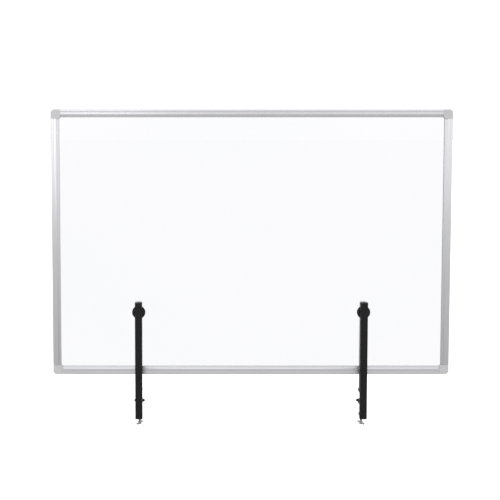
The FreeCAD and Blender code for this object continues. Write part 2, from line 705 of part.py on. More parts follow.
def clamp_screw(side, sign):
    """The screw, heights above its head's lower face: head, shank, neck, and the ball's tip."""
    turn = sign * read("bar_turn")
    screw = new_body(side + "_clamp_screw", x=leg_x(sign), y="clamp_axis", z="head_foot",
                     turn=turn, about=UP)
    shank = "clamp_hole / 2 - shaft_play"
    ball = "grip_top - grip_rubber - ball_below_plate - head_foot"
    turned(screw, "XZ_Plane", [
        ("0", "0"),
        ("head_radius - edge_break", "0"),
        ("head_radius", "edge_break"),
        ("head_radius", "head_top - head_foot - edge_break"),
        ("head_radius - edge_break", "head_top - head_foot"),
        (shank, "head_top - head_foot"),
        (shank, ball + " - neck_gap - edge_break"),
        ("neck_radius", ball + " - neck_gap"),
        ("neck_radius", ball + " + ball_bore_top - ball_play"),
        ("0", ball + " + ball_bore_top - ball_play"),
    ])
    cross = sketch_on(screw, "XZ_Plane")
    circle(cross, "0", "bar_height - head_foot", "2 * ( bar_radius + shaft_play )")
    feature(screw, "Pocket", cross, "4 * head_radius", symmetric=True)


def tommy_bar(side, sign):
    bar = new_body(side + "_tommy_bar", x=leg_x(sign), y="clamp_axis", z="bar_height",
                   turn=sign * read("bar_turn"), about=UP)
    half = []
    for radius, along in (("bar_end_radius - edge_break", "bar_half"),
                          ("bar_end_radius", "bar_half - edge_break"),
                          ("bar_end_radius", "bar_half - bar_end"),
                          ("bar_radius", "bar_half - bar_end")):
        half.append((radius, along))
    mirrored = [(radius, "0 - ( " + along + " )") for radius, along in half[::-1]]
    turned(bar, "XY_Plane", [("0", "bar_half")] + half + mirrored + [("0", "0 - bar_half")])


def clamp_leg(side, sign):
    front_upright(side, sign)
    end_plug(side + "_top_end_cap", sign, "leg_top", 0)
    end_plug(side + "_bottom_end_cap", sign, "leg_foot", 180)
    upper_jaw(side, sign)
    jaw_pad(side, sign)
    rear_upright(side, sign)
    foot_screws(side, sign)
    lower_jaw(side, sign)
    front_glass_pad(side, sign)
    knob_nut(side, sign)
    rear_glass_pad(side, sign)
    knob(side, sign)
    swivel_pad(side, sign)
    socket_ball(side, sign)
    clamp_screw(side, sign)
    tommy_bar(side, sign)


rails_and_gaskets()
glass_pane()
for corner in CORNERS:
    corner_cap(*corner)
corner_screws()
for leg in SIDES:
    clamp_leg(*leg)
doc.recompute()

for item in doc.Objects:
    if "Invalid" in item.State or "Error" in item.State:
        raise RuntimeError("%s did not build: %s" % (item.Label, item.State))
for node in nodes:
    if node.Shape.isNull() or not node.Shape.isValid():
        raise RuntimeError("%s has no valid shape" % node.Label)

os.makedirs("parts", exist_ok=True)
for node in nodes:
    node.Shape.exportStep("parts/%s.step" % node.Label)
    print("%-28s %d solids %10.1f mm3" % (node.Label, len(node.Shape.Solids), node.Shape.Volume))
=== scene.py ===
import json
import math

import bmesh
import bpy
from mathutils import Matrix, Vector


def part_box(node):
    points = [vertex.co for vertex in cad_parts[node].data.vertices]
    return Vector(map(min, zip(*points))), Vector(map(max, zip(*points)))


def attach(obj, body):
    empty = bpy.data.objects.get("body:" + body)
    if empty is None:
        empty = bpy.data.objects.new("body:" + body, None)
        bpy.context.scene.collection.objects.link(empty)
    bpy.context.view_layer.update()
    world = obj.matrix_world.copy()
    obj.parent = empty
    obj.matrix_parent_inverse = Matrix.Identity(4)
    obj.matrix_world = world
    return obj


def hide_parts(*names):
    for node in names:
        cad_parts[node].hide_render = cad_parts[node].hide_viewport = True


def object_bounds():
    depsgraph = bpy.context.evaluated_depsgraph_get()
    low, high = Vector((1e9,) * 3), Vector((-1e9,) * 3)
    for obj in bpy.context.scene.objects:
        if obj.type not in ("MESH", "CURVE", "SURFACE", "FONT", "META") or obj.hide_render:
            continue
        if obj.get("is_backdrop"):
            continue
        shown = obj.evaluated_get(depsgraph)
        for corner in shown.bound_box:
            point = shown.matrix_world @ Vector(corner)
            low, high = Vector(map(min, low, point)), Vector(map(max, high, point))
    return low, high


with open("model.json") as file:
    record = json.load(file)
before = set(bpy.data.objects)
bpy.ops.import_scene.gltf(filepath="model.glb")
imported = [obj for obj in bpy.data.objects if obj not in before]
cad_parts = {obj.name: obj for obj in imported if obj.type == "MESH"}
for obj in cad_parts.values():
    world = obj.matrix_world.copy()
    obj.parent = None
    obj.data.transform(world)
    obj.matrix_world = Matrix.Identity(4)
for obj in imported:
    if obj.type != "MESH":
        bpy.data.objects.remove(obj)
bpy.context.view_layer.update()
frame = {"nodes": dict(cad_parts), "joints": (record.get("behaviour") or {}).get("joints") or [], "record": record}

# A framed clear glass privacy panel on two black clamp legs. CAD parts whose shapes are right keep
# them and get their finishes here. Bars get softened edges, and the screws, knobs, nuts and rubber
# faces are replaced by finely detailed pieces in the same places. Lengths are in metres.

MM = 0.001
MERGE = MM / 500
SIDES = ("left", "right")
BODY_OF = {node: body for body, members in frame["record"]["behaviour"]["bodies"].items() for node in members}
SLOT_OF = {part["node"]: part["material_slot"] for part in frame["record"]["subparts"]}


# ---- materials ----

SEEN_WHITE = 1.03  # radiance of the floor and the room where they are seen through the glass
FLOOR_BOUNCE = 0.5  # how much light the floor sends up at the object
WORN_EDGE = 0.7 * MM

class Material:
    """A node tree around one Principled shader, with helpers for the usual surface detail."""

    def __init__(self, name, color, roughness, metallic=0.0, specular=0.5):
        self.data = bpy.data.materials.new(name)
        self.data.use_nodes = True
        self.tree = self.data.node_tree
        self.shader = self.tree.nodes["Principled BSDF"]
        self.shader.inputs["Base Color"].default_value = (*color, 1)
        self.shader.inputs["Roughness"].default_value = roughness
        self.shader.inputs["Metallic"].default_value = metallic
        self.shader.inputs["Specular IOR Level"].default_value = specular
        self.color = color
        self.roughness = roughness
        self.normal = None

    def node(self, kind, **inputs):
        made = self.tree.nodes.new(kind)
        for name, value in inputs.items():
            made.inputs[name.replace("_", " ")].default_value = value
        return made

    def link(self, source, target):
        self.tree.links.new(source, target)

    def place(self, stretch=(1, 1, 1)):
        """Object coordinates; a pattern is drawn out along the axes with small factors."""
        where = self.node("ShaderNodeTexCoord")
        scaled = self.node("ShaderNodeMapping", Scale=stretch)
        self.link(where.outputs["Object"], scaled.inputs["Vector"])
        return scaled.outputs["Vector"]

    def noise(self, scale, detail=3.0, stretch=(1, 1, 1)):
        made = self.node("ShaderNodeTexNoise", Scale=scale, Detail=detail)
        self.link(self.place(stretch), made.inputs["Vector"])
        return made.outputs["Fac"]

    def span(self, value, low, high, source_low=0.3, source_high=0.7):
        """The value, spread from the range it usually fills to low and high."""
        made = self.node("ShaderNodeMapRange", From_Min=source_low, From_Max=source_high,
                         To_Min=low, To_Max=high)
        self.link(value, made.inputs["Value"])
        return made.outputs["Result"]

    def vary_roughness(self, value, swing):
        spread = self.span(value, self.roughness - swing, self.roughness + swing)
        self.link(spread, self.shader.inputs["Roughness"])

    def vary_color(self, value, other):
        """The base colour drifts to another colour as the value rises."""
        mix = self.node("ShaderNodeMix")
        mix.data_type = "RGBA"
        mix.inputs["A"].default_value = (*self.color, 1)
        mix.inputs["B"].default_value = (*other, 1)
        self.link(value, mix.inputs["Factor"])
        self.link(mix.outputs["Result"], self.shader.inputs["Base Color"])

    def bump(self, value, depth, strength):
        """One more layer of relief, of that depth, on top of the layers before it."""
        made = self.node("ShaderNodeBump", Strength=strength, Distance=depth)
        self.link(value, made.inputs["Height"])
        if self.normal is not None:
            self.link(self.normal, made.inputs["Normal"])
        self.normal = made.outputs["Normal"]
        self.link(self.normal, self.shader.inputs["Normal"])

    def edges(self, radius):
        """A mask that rises to 1 on the edges, where a finish rubs thin."""
        rounded_off = self.node("ShaderNodeBevel", Radius=radius)
        geometry = self.node("ShaderNodeNewGeometry")
        match = self.node("ShaderNodeVectorMath")
        match.operation = "DOT_PRODUCT"
        self.link(rounded_off.outputs["Normal"], match.inputs[0])
        self.link(geometry.outputs["Normal"], match.inputs[1])
        return self.span(match.outputs["Value"], 1.0, 0.0, 0.85, 0.99)


def anodised(name, stretch):
    """Satin anodised extrusion: fine die lines along its length and a soft cloudy sheen."""
    made = Material(name, (0.555, 0.553, 0.572), 0.40, metallic=1.0)
    made.vary_color(made.span(made.noise(7.0, 4.0), 0.0, 1.0), (0.535, 0.533, 0.555))
    lines = made.noise(1.0, 2.0, stretch)
    made.vary_roughness(lines, 0.04)
    made.bump(lines, 0.00002, 0.12)
    made.bump(made.noise(2400.0, 2.0), 0.00001, 0.12)
    return made.data


def corner_plastic():
    made = Material("corner_plastic", (0.46, 0.459, 0.466), 0.46)
    made.vary_color(made.span(made.noise(60.0, 3.0), 0.0, 1.0), (0.44, 0.439, 0.446))
    made.vary_roughness(made.noise(400.0), 0.05)
    made.bump(made.noise(3000.0, 3.0), 0.00003, 0.35)
    return made.data


def powder_coat():
    """Fine-textured black powder coat over steel, rubbed a little greyer on its edges."""
    made = Material("powder_coat", (0.0055, 0.0055, 0.006), 0.5, specular=0.18)
    made.vary_color(made.edges(WORN_EDGE), (0.016, 0.016, 0.0165))
    made.vary_roughness(made.noise(300.0, 4.0), 0.07)
    made.bump(made.noise(1500.0, 2.5), 0.00006, 0.5)
    return made.data


def black_moulding():
    made = Material("black_moulding", (0.006, 0.006, 0.0065), 0.42, specular=0.25)
    made.vary_color(made.span(made.noise(90.0, 2.0), 0.0, 1.0), (0.010, 0.010, 0.0105))
    made.vary_roughness(made.noise(500.0), 0.06)
    made.bump(made.noise(3500.0, 2.0), 0.00002, 0.4)
    return made.data


def black_rubber():
    made = Material("black_rubber", (0.010, 0.010, 0.010), 0.78, specular=0.2)
    made.vary_color(made.span(made.noise(160.0, 4.0), 0.0, 1.0), (0.018, 0.018, 0.0175))
    made.vary_roughness(made.noise(700.0), 0.08)
    made.bump(made.noise(2400.0, 3.0), 0.00005, 0.5)
    return made.data


def grey_rubber():
    made = Material("grey_gasket", (0.30, 0.30, 0.31), 0.7, specular=0.3)
    made.vary_color(made.span(made.noise(120.0, 3.0), 0.0, 1.0), (0.24, 0.24, 0.25))
    made.vary_roughness(made.noise(600.0), 0.08)
    made.bump(made.noise(2600.0, 3.0), 0.00004, 0.4)
    return made.data


def zinc_plate():
    """Bright zinc: bluish grey, a little mottled, with a turned grain."""
    made = Material("zinc_plate", (0.36, 0.365, 0.385), 0.3, metallic=1.0)
    made.vary_color(made.span(made.noise(700.0, 4.0), 0.0, 1.0), (0.25, 0.255, 0.27))
    made.vary_roughness(made.noise(900.0, 3.0), 0.1)
    made.bump(made.noise(1800.0, 3.0, (1, 1, 3)), 0.00002, 0.4)
    return made.data


def black_oxide():
    made = Material("black_oxide", (0.03, 0.03, 0.032), 0.4, metallic=0.7)
    made.vary_color(made.span(made.noise(500.0, 3.0), 0.0, 1.0), (0.05, 0.05, 0.052))
    made.vary_roughness(made.noise(900.0), 0.08)
    made.bump(made.noise(2200.0, 2.0), 0.00002, 0.4)
    return made.data


def nylon():
    made = Material("nylon", (0.78, 0.76, 0.70), 0.4)
    made.vary_color(made.span(made.noise(200.0, 2.0), 0.0, 1.0), (0.72, 0.70, 0.64))
    made.vary_roughness(made.noise(600.0), 0.05)
    made.bump(made.noise(2000.0, 2.0), 0.00002, 0.3)
    return made.data


def clear_glass():
    """Clear tempered glass, with faint cloudy bands painted into its tint as a faint reflection. Lamps shine
    straight through it.
    """
    made = Material("clear_glass", (0.930, 0.934, 0.950), 0.012)
    # painted reflection: the base colour drifts in faint cloudy bands that stand for a faint reflection on the
    # glass
    made.vary_color(made.span(made.noise(2.2, 1.0), 0.0, 1.0), (0.950, 0.945, 0.962))
    made.shader.inputs["Transmission Weight"].default_value = 1.0
    made.shader.inputs["IOR"].default_value = 1.52
    made.vary_roughness(made.noise(3.0, 4.0), 0.01)
    made.bump(made.noise(1.4, 1.0), 0.0004, 0.15)
    rays = made.node("ShaderNodeLightPath")
    clear = made.node("ShaderNodeBsdfTransparent", Color=(0.96, 0.97, 0.97, 1))
    mix = made.node("ShaderNodeMixShader")
    output = made.tree.nodes["Material Output"]
    made.link(rays.outputs["Is Shadow Ray"], mix.inputs["Fac"])
    made.link(made.shader.outputs["BSDF"], mix.inputs[1])
    made.link(clear.outputs["BSDF"], mix.inputs[2])
    made.link(mix.outputs["Shader"], output.inputs["Surface"])
    return made.data


def studio_floor():
    """Pale paper. It shows no horizon through the glass, and lights the object only softly from below."""
    made = Material("studio_floor", (0.93, 0.93, 0.93), 0.9, specular=0.0)
    made.vary_roughness(made.noise(4.0), 0.05)
    rays = made.node("ShaderNodeLightPath")
    dim = made.node("ShaderNodeBsdfDiffuse", Color=(FLOOR_BOUNCE, FLOOR_BOUNCE, FLOOR_BOUNCE, 1))
    even = made.node("ShaderNodeEmission", Strength=SEEN_WHITE)
    direct = made.node("ShaderNodeMixShader")
    through = made.node("ShaderNodeMixShader")
    made.link(rays.outputs["Is Camera Ray"], direct.inputs["Fac"])
    made.link(dim.outputs["BSDF"], direct.inputs[1])
    made.link(made.shader.outputs["BSDF"], direct.inputs[2])
    made.link(rays.outputs["Is Transmission Ray"], through.inputs["Fac"])
    made.link(direct.outputs["Shader"], through.inputs[1])
    made.link(even.outputs["Emission"], through.inputs[2])
    made.link(through.outputs["Shader"], made.tree.nodes["Material Output"].inputs["Surface"])
    return made.data


FINISHES = {
    "clear_glass": clear_glass(),
    "corner_plastic": corner_plastic(),
    "glazing_rubber": grey_rubber(),
    "zinc_screws": zinc_plate(),
    "black_steel": powder_coat(),
    "black_plastic": black_moulding(),
    "black_rubber": black_rubber(),
    "black_screws": black_oxide(),
    "nylon": nylon(),
}
FINISHES["zinc_steel"] = FINISHES["zinc_screws"]
LENGTHWISE = anodised("anodised_lengthwise", (4, 1400, 1400))
UPRIGHT = anodised("anodised_upright", (1400, 1400, 4))


def finish_of(node):
    if SLOT_OF[node] == "anodised_aluminium":
        return LENGTHWISE if node in ("top_rail", "bottom_rail") else UPRIGHT
    return FINISHES[SLOT_OF[node]]


for name, item in frame["nodes"].items():
    item.data.materials.clear()
    item.data.materials.append(finish_of(name))


# ---- mesh helpers ----

SHARP = math.radians(32)


def smoothed(bm, name, sharp=SHARP):
    """A mesh object that shades smoothly, except across its sharp edges."""
    bmesh.ops.remove_doubles(bm, verts=bm.verts, dist=MERGE)
    bmesh.ops.recalc_face_normals(bm, faces=bm.faces)
    for face in bm.faces:
        face.smooth = True
    for edge in bm.edges:
        edge.smooth = edge.calc_face_angle(0) < sharp
    data = bpy.data.meshes.new(name)
    bm.to_mesh(data)
    bm.free()
    piece = bpy.data.objects.new(name, data)
    bpy.context.collection.objects.link(piece)
    return piece


def finish(bm, name, node, sharp=SHARP):
    """A piece that stands for a CAD node, on its body and in its finish."""
    piece = smoothed(bm, name, sharp)
    piece.data.materials.append(finish_of(node))
    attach(piece, BODY_OF[node])
    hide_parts(node)
    return piece


def softened(node, width, segments=2):
    """A CAD part with its sharp edges rounded off a little, as rolled bar or extrusion has them."""
    bm = bmesh.new()
    bm.from_mesh(frame["nodes"][node].data)
    bmesh.ops.remove_doubles(bm, verts=bm.verts, dist=MERGE)
    bmesh.ops.dissolve_limit(bm, angle_limit=math.radians(0.5), verts=bm.verts, edges=bm.edges)
    sharp = [edge for edge in bm.edges if edge.is_manifold and edge.calc_face_angle() > SHARP]
    bmesh.ops.bevel(bm, geom=sharp, offset=width, segments=segments, profile=0.5, affect="EDGES",
                    clamp_overlap=True)
    return finish(bm, node + "_softened", node)


def ring(radius, height, columns, shape=None):
    """Points around the local Z axis; shape gives each angle's share of the radius."""
    points = []
    for k in range(columns):
        angle = math.tau * k / columns
        reach = radius * (shape(angle) if shape else 1)
        points.append(Vector((reach * math.cos(angle), reach * math.sin(angle), height)))
    return points


def loft(bm, rings):
    """A skin through rings of equally many points; a ring of one point closes an end."""
    rows = [[bm.verts.new(point) for point in points] for points in rings]
    for low, high in zip(rows, rows[1:]):
        count = max(len(low), len(high))
        for k in range(count):
            after = (k + 1) % count
            corners = (low[k % len(low)], low[after % len(low)], high[after % len(high)], high[k % len(high)])
            bm.faces.new(list(dict.fromkeys(corners)))


def turned(bm, profile, columns):
    """A turned shape through (radius, height) steps about local Z; radius 0 closes an end."""
    loft(bm, [ring(r, z, columns) if r else [Vector((0, 0, z))] for r, z in profile])


def rounded(radius, height, size, rising, steps=4):
    """Profile steps around an outer corner at that radius and height, in order of rising height."""
    turns = [math.pi / 2 * k / steps for k in range(steps + 1)]
    if rising:
        return [(radius - size * (1 - math.cos(a)), height - size * (1 - math.sin(a))) for a in turns]
    return [(radius - size * (1 - math.sin(a)), height + size * (1 - math.cos(a))) for a in turns]


def thread(bm, crest, root, low, high, pitch, columns):
    """A helical thread between two plain rings of the root radius, running out at both ends."""
    steps = ((0.0, root), (0.30, crest), (0.45, crest), (0.75, root))
    rows = []
    for turn in range(-1, math.ceil((high - low) / pitch) + 2):
        for share, reach in steps:
            row = []
            for k in range(columns):
                angle = math.tau * k / columns
                height = low + pitch * (turn + share + k / columns)
                inside = low < height < high
                at = Vector((math.cos(angle), math.sin(angle), 0)) * (reach if inside else root)
                at.z = min(max(height, low), high)
                row.append(bm.verts.new(at))
            rows.append(row)
    for r in range(len(rows) - len(steps) - 1):
        for k in range(columns):
            step, after = (r, k + 1) if k + 1 < columns else (r + len(steps), 0)
            bm.faces.new((rows[r][k], rows[step][after], rows[step + 1][after], rows[r + 1][k]))


def prism(bm, low, high):
    """A closed solid between two rows of corners."""
    bm.faces.new(low)
    bm.faces.new(high)
    for k in range(len(low)):
        after = (k + 1) % len(low)
        bm.faces.new((low[k], low[after], high[after], high[k]))


def pointed(bm, origin, direction):
    """Moves a shape built about local Z to an origin and axis."""
    turn = Vector(direction).to_track_quat("Z", "X").to_matrix().to_4x4()
    bm.transform(Matrix.Translation(origin) @ turn)


def carved(bm, cutter):
    """The first mesh with the second cut out of it."""
    body = smoothed(bm, "blank")
    tool = smoothed(cutter, "cutter")
    cut = body.modifiers.new("cut", "BOOLEAN")
    cut.object = tool
    cut.solver = "EXACT"
    view = bpy.context.evaluated_depsgraph_get()
    made = bmesh.new()
    made.from_mesh(bpy.data.meshes.new_from_object(body.evaluated_get(view)))
    for used in (body, tool):
        data = used.data
        bpy.data.objects.remove(used)
        bpy.data.meshes.remove(data)
    return made


def middle(node):
    low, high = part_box(node)
    return (low + high) / 2


def islands(node):
    """The boxes of the separate solids in a node that groups fasteners."""
    bm = bmesh.new()
    bm.from_mesh(frame["nodes"][node].data)
    bmesh.ops.remove_doubles(bm, verts=bm.verts, dist=MERGE)
    left = set(bm.verts)
    boxes = []
    while left:
        island = []
        queue = [left.pop()]
        while queue:
            vert = queue.pop()
            island.append(vert.co.copy())
            for edge in vert.link_edges:
                other = edge.other_vert(vert)
                if other in left:
                    left.remove(other)
                    queue.append(other)
        boxes.append((Vector(min(co[i] for co in island) for i in range(3)),
                      Vector(max(co[i] for co in island) for i in range(3))))
    bm.free()
    return sorted(boxes, key=lambda box: tuple(box[0]))


def joined(bm, other):
    """Adds a second mesh to the first."""
    data = bpy.data.meshes.new("part")
    other.to_mesh(data)
    other.free()
    bm.from_mesh(data)
    bpy.data.meshes.remove(data)


# ---- bars, rails and small covers ----

RAIL_EDGE = 0.25 * MM
BAR_EDGE = 0.5 * MM
PLUG_EDGE = 0.35 * MM

for rail in ("top_rail", "bottom_rail", "left_rail", "right_rail"):
    softened(rail, RAIL_EDGE)
for side in SIDES:
    for bar in ("_upper_jaw", "_rear_upright", "_lower_jaw"):
        softened(side + bar, BAR_EDGE)
    for plug in ("_top_end_cap", "_bottom_end_cap"):
        softened(side + plug, PLUG_EDGE)


# ---- screws ----

def cross_head(head, rise, columns):
    """A domed screw head, standing on z = 0, with a tapered cross recess sunk in its top."""
    rim, rings = 0.3, 8
    profile = [(0, 0), (head, 0)]
    for k in range(rings):
        angle = math.pi / 2 * k / rings
        profile.append((head * math.cos(angle), rise * (rim + (1 - rim) * math.sin(angle))))
    dome = bmesh.new()
    turned(dome, profile + [(0, rise)], columns)
    arm, slot = 0.58 * head, 0.15 * head
    quarter = [(slot, slot), (slot, arm), (-slot, arm)]
    cross = bmesh.new()
    ends = []
    for height, spread in ((0.35 * rise, 0.6), (2 * rise, 1.5)):
        turns = [Matrix.Rotation(math.tau * k / 4, 3, "Z") for k in range(4)]
        row = [turn @ Vector((x * spread, y * spread, height)) for turn in turns for x, y in quarter]
        ends.append([cross.verts.new(point) for point in row])
    prism(cross, *ends)
    return carved(dome, cross)


def cross_screw(node, axis, head, rise):
    """Replaces a group of screws: domed heads with a cross recess, on threaded shanks."""
    pitch = 0.7 * MM
    crest, root = 0.48 * head, 0.38 * head
    shape = bmesh.new()
    for low, high in islands(node):
        length = (high - low)[axis] - rise
        screw = cross_head(head, rise, 32)
        shank = bmesh.new()
        turned(shank, [(0, -length), (0.7 * root, -length), (root, -length + pitch)], 24)
        thread(shank, crest, root, -length + pitch, -pitch, pitch, 24)
        turned(shank, [(root, -pitch), (crest, 0), (0, 0)], 24)
        joined(screw, shank)
        base = (low + high) / 2
        base[axis] = high[axis] - rise
        pointed(screw, base, [float(i == axis) for i in range(3)])
        joined(shape, screw)
    return finish(shape, node + "_detailed", node)


CORNER_HEAD, CORNER_RISE = 2.8 * MM, 1.6 * MM
FOOT_HEAD, FOOT_RISE = 3.8 * MM, 2.2 * MM

cross_screw("corner_screws", 1, CORNER_HEAD, CORNER_RISE)
for side in SIDES:
    cross_screw(side + "_foot_screws", 2, FOOT_HEAD, FOOT_RISE)


# ---- the clamp below the desk ----

BAR_AXIS = {j["child"]: Vector(j["axis"]) for j in frame["joints"] if j["name"].endswith("_bar_slide")}
BALL_RADIUS = 4.5 * MM
BAR_RADIUS = 2 * MM
BAR_HOLE = 2.06 * MM
HEAD_RADIUS = 4 * MM
HEAD_LENGTH = 7 * MM
HEAD_EDGE = 0.8 * MM
NECK_DROP = 4.7 * MM
NECK_RADIUS = 1.95 * MM
M6_CREST, M6_ROOT, M6_PITCH = 2.95 * MM, 2.4 * MM, 1 * MM
LAP = 0.2 * MM


def clamp_screw(side):
    """M6 screw: a drilled head, a coarse thread and a plain neck up into the ball."""
    node = side + "_clamp_screw"
    low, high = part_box(node)
    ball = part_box(side + "_socket_ball")[1].z - BALL_RADIUS
    shoulder, neck_top = ball - NECK_DROP - low.z, high.z - low.z
    start, end = HEAD_LENGTH + MM, shoulder - 1.2 * MM
    head = bmesh.new()
    turned(head, [(0, 0)] + rounded(HEAD_RADIUS, 0, HEAD_EDGE, False)
           + rounded(HEAD_RADIUS, HEAD_LENGTH, HEAD_EDGE, True)
           + [(M6_ROOT, HEAD_LENGTH), (M6_ROOT, start), (0, start)], 48)
    hole, reach = bmesh.new(), 2 * HEAD_RADIUS
    turned(hole, [(0, -reach), (BAR_HOLE, -reach), (BAR_HOLE, reach), (0, reach)], 32)
    pointed(hole, (0, 0, middle(side + "_tommy_bar").z - low.z), BAR_AXIS[side + "_tommy_bar"])
    screw = carved(head, hole)
    shank = bmesh.new()
    turned(shank, [(0, start - LAP), (M6_ROOT, start - LAP), (M6_ROOT, start)], 32)
    thread(shank, M6_CREST, M6_ROOT, start, end, M6_PITCH, 32)
    tip_edge, shoulder_edge = 0.3 * MM, 0.4 * MM
    turned(shank, [(M6_ROOT, end), (M6_ROOT, shoulder - shoulder_edge), (NECK_RADIUS, shoulder),
                   (NECK_RADIUS, neck_top - tip_edge), (NECK_RADIUS - tip_edge, neck_top),
                   (0, neck_top)], 32)
    joined(screw, shank)
    center = middle(node)
    bmesh.ops.translate(screw, verts=screw.verts, vec=(center.x, center.y, low.z))
    return finish(screw, side + "_clamp_screw_threaded", node)


def tommy_bar(side):
    """A sliding bar with upset, domed ends."""
    node = side + "_tommy_bar"
    half, swell, length = 15 * MM, 2.6 * MM, 1.5 * MM
    flare, crown = 0.3 * MM, 0.05 * MM
    end = [(BAR_RADIUS, half - length - flare), (swell - 2 * crown, half - length)]
    end += rounded(swell, half - flare, 2 * flare, True, 5)
    end += [(1.2 * MM, half - crown), (0, half)]
    bm = bmesh.new()
    turned(bm, [(r, -z) for r, z in end[::-1]] + end, 32)
    pointed(bm, middle(node), BAR_AXIS[node])
    return finish(bm, node + "_domed", node)


def grooves(start, face, count, spacing):
    """Profile steps inward from a radius: ring grooves sunk in a face."""
    wide, deep = 0.9 * MM, 0.4 * MM
    steps = []
    for k in range(count):
        r = start - k * spacing
        steps += [(r, face), (r - 0.25 * wide, face - deep), (r - 0.75 * wide, face - deep), (r - wide, face)]
    return steps


def swivel_rubber(side):
    """The desk grip's rubber disc, with ring grooves in its face."""
    node = side + "_swivel_pad_rubber"
    low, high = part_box(node)
    radius, thick = (high.x - low.x) / 2, high.z - low.z
    bm = bmesh.new()
    profile = [(0, 0), (radius, 0)] + rounded(radius, thick, 0.5 * MM, True)
    turned(bm, profile + grooves(radius - 1.4 * MM, thick, 4, 2.4 * MM) + [(0, thick)], 72)
    center = middle(node)
    bmesh.ops.translate(bm, verts=bm.verts, vec=(center.x, center.y, low.z))
    return finish(bm, node + "_grooved", node)


def jaw_pad(side):
    """The strip under the upper jaw, with ribs along its length on the face that meets the desk."""
    node = side + "_upper_jaw_pad"
    low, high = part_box(node)
    count = 6
    wide, deep = (high.x - low.x) / count, 0.35 * MM
    face = []
    for k in range(count):
        x = low.x + k * wide
        face += [(x + 0.1 * wide, low.z), (x + 0.6 * wide, low.z), (x + 0.75 * wide, low.z + deep),
                 (x + 0.95 * wide, low.z + deep)]
    outline = [(low.x, low.z + deep)] + face + [(high.x, low.z + deep), (high.x, high.z), (low.x, high.z)]
    bm = bmesh.new()
    ends = [[bm.verts.new((x, y, z)) for x, z in outline] for y in (low.y, high.y)]
    prism(bm, *ends)
    return finish(bm, node + "_ribbed", node)


def weld(side):
    """A small fillet weld where the lower jaw meets the upright, above and below the bar."""
    low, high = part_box(side + "_lower_jaw")
    size, root, half = 1.3 * MM, 0.3 * MM, (high.x - low.x) / 2 - 0.6 * MM
    count, ripple_steps, arc_steps = 60, 5, 6
    around = [math.radians(-8 + 106 * a / arc_steps) for a in range(arc_steps + 1)]
    bm = bmesh.new()
    for z, up in ((high.z, 1), (low.z, -1)):
        rings = []
        for k in range(count + 1):
            share = 2 * k / count - 1
            ripple = 1 + 0.07 * math.sin(math.tau * k / ripple_steps)
            reach = size * ripple * math.sqrt(max(1 - share ** 6, 0.04))
            x = share * half
            arc = [Vector((x, reach * math.cos(a), z + up * reach * math.sin(a))) for a in around]
            rings.append([Vector((x, -root, z - up * root))] + arc)
        loft(bm, [[Vector((-half, root, z))]] + rings + [[Vector((half, root, z))]])
    bmesh.ops.translate(bm, verts=bm.verts, vec=(middle(side + "_lower_jaw").x, 0, 0))
    piece = smoothed(bm, side + "_lower_jaw_weld")
    piece.data.materials.append(finish_of(side + "_lower_jaw"))
    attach(piece, BODY_OF[side + "_lower_jaw"])


for side in SIDES:
    clamp_screw(side)
    tommy_bar(side)
    swivel_rubber(side)
    jaw_pad(side)
    weld(side)


# ---- the glass pads and the knob behind ----

KNOB_GROOVES = 12
GROOVE_DEPTH = 0.11
GROOVE_REACH = 0.34
M5_CREST, M5_ROOT, M5_PITCH = 2.45 * MM, 2.0 * MM, 0.8 * MM
NUT_FLATS = 4 * MM
NUT_FACE = 0.97 * NUT_FLATS
NUT_HOLE = 2.5 * MM


def scalloped(angle):
    """A knob's outline: soft finger grooves at even turns."""
    pitch = math.tau / KNOB_GROOVES
    off = abs((angle + pitch / 2) % pitch - pitch / 2) / (GROOVE_REACH * pitch)
    return 1 - GROOVE_DEPTH * (math.cos(math.pi * off) + 1) / 2 if off < 1 else 1


def knob(side):
    """A moulded knob: a plain hub, a fluted grip with rounded rims and a shallow dish on top."""
    node = side + "_knob"
    low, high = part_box(node)
    radius, length = (high.z - low.z) / 2, high.y - low.y
    hub, step, cover, columns = 6.5 * MM, 1.5 * MM, 3 * MM, 144
    break_edge, dish_depth = 0.3 * MM, 0.8 * MM
    plain = [(M5_CREST, 0), (hub - break_edge, 0), (hub, break_edge), (hub, step)]
    grip = rounded(radius, step, 0.9 * MM, False)
    grip += rounded(radius, length - break_edge, 2 * MM, True, 6)
    dish = [(radius - 2.6 * MM, length), (radius - 3.1 * MM, length - 0.15 * MM),
            (radius - 3.5 * MM, length - 0.6 * MM)]
    rings = [ring(r, z, columns) for r, z in plain]
    rings += [ring(r, z, columns, scalloped) for r, z in grip]
    rings += [ring(r, z, columns) for r, z in dish] + [[Vector((0, 0, length - dish_depth))]]
    bm = bmesh.new()
    loft(bm, rings)
    turned(bm, [(M5_CREST, 0), (M5_CREST, length - cover), (0, length - cover)], columns)
    pointed(bm, (middle(node).x, low.y, middle(node).z), (0, 1, 0))
    return finish(bm, node + "_fluted", node)


def knob_screw(side):
    """M5 screw: a plain tip that turns in the rear pad, a thread, and a shank held in the knob."""
    node = side + "_knob_screw"
    low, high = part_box(node)
    length, tip, shoulder = high.y - low.y, 1.95 * MM, 1.65 * MM
    start, end = shoulder + 0.5 * MM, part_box(side + "_knob")[0].y - low.y + MM
    bm = bmesh.new()
    turned(bm, [(0, 0), (tip - LAP, 0), (tip, LAP), (tip, shoulder), (M5_ROOT, start)], 32)
    thread(bm, M5_CREST, M5_ROOT, start, end, M5_PITCH, 32)
    turned(bm, [(M5_ROOT, end), (M5_CREST, end + LAP), (M5_CREST, length), (0, length)], 32)
    pointed(bm, (middle(node).x, low.y, middle(node).z), (0, 1, 0))
    return finish(bm, node + "_threaded", node)


def hexagon(angle):
    """A hexagon's outline, as a share of its inscribed radius."""
    side = math.radians(60)
    return 1 / math.cos(angle % side - side / 2)


